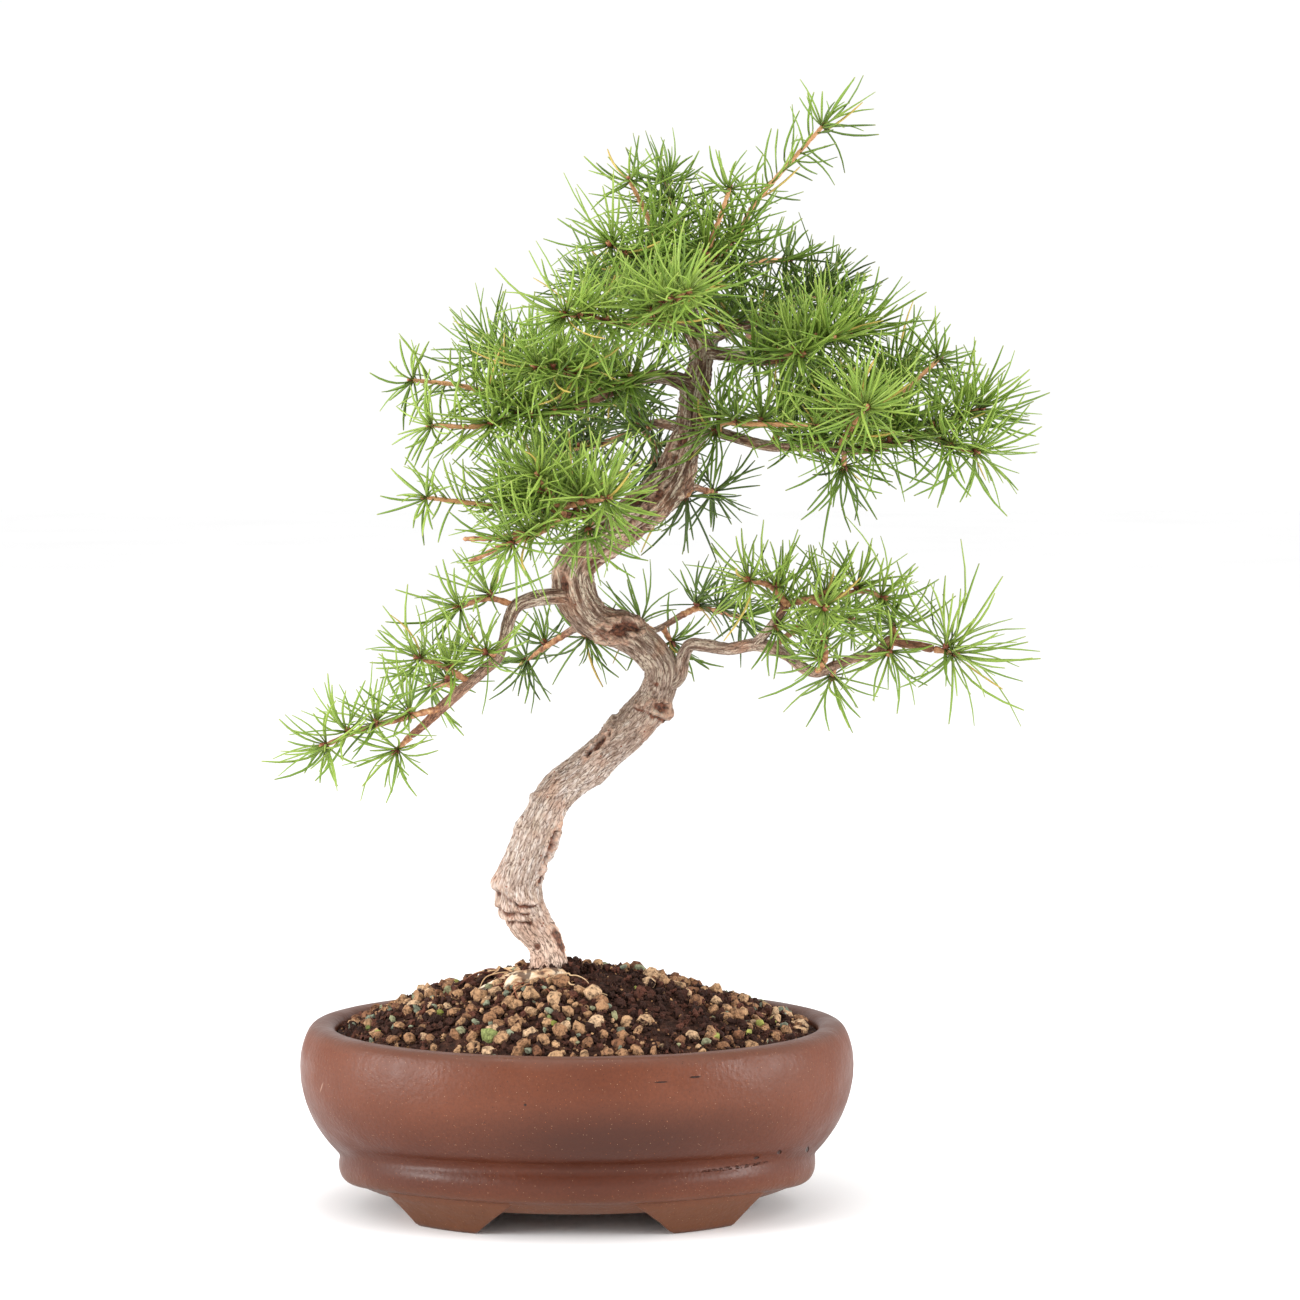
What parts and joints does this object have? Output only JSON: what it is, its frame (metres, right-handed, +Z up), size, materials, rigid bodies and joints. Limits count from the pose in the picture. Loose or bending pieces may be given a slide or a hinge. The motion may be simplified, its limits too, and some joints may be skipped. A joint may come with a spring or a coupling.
{
  "type": "larch bonsai in an oval pot",
  "caption": "Miniature larch tree with a winding trunk and needle-covered branches, standing in mounded soil in an oval footed pot with drain holes.",
  "frame": {"origin": "on the surface the pot stands on, under the middle of the object's bounding box", "axes": "+Z up; +X along the pot's long side, to the viewer's right; +Y across the pot, away from the viewer"},
  "size_m": [0.3034, 0.1958, 0.4508],
  "materials": {
    "clay": "unglazed brown stoneware, faintly satin, with fine light and dark specks",
    "soil": "damp dark peat with tan, pitted grains, matt",
    "bark": "grey-beige fissured bark, matt, with paler lips round old scars",
    "needles": "soft bright green needles on orange-tan twigs, satin",
    "plastic_mesh": "matt black plastic mesh"
  },
  "bodies": {
    "root": {"drain_mesh_left": "plastic_mesh", "drain_mesh_right": "plastic_mesh", "pot": "clay", "soil": "soil", "spray_crown_front": "needles", "spray_crown_left_high": "needles", "spray_crown_left_low": "needles", "spray_crown_rear": "needles", "spray_crown_rear_left": "needles", "spray_crown_rear_right": "needles", "spray_crown_top_left": "needles", "spray_crown_top_mid": "needles", "spray_leader": "needles", "spray_low_rear_left": "needles", "spray_low_rear_left_spur": "needles", "spray_low_rear_mid_spur": "needles", "spray_low_rear_right": "needles", "spray_low_rear_right_spur": "needles", "spray_lower_left_inner": "needles", "spray_lower_left_mid": "needles", "spray_lower_left_rear": "needles", "spray_lower_left_tip": "needles", "spray_lower_left_top": "needles", "spray_lower_left_under": "needles", "spray_lower_right_end": "needles", "spray_lower_right_low": "needles", "spray_lower_right_mid": "needles", "spray_lower_right_rear": "needles", "spray_lower_right_rise_left": "needles", "spray_lower_right_rise_right": "needles", "spray_lower_right_under": "needles", "spray_lower_right_upspur": "needles", "spray_mid_left_down": "needles", "spray_mid_left_long": "needles", "spray_mid_left_rear": "needles", "spray_mid_left_under": "needles", "spray_mid_left_up": "needles", "spray_rear_left_drop": "needles", "spray_rear_left_high": "needles", "spray_rear_left_low": "needles", "spray_rear_low": "needles", "spray_rear_low_spur": "needles", "spray_right_end": "needles", "spray_right_face": "needles", "spray_right_inner": "needles", "spray_right_near": "needles", "spray_right_rear": "needles", "spray_right_rise": "needles", "spray_right_rise_rear": "needles", "spray_right_under": "needles", "spray_upper_left_face": "needles", "spray_upper_left_heart": "needles", "spray_upper_left_rear": "needles", "spray_upper_left_ridge": "needles", "spray_upper_left_shoot": "needles", "spray_upper_right_fan": "needles", "spray_upper_right_far": "needles", "spray_upper_right_rear": "needles", "spray_upper_right_rear_low": "needles", "tree": "bark"}
  },
  "joints": []
}
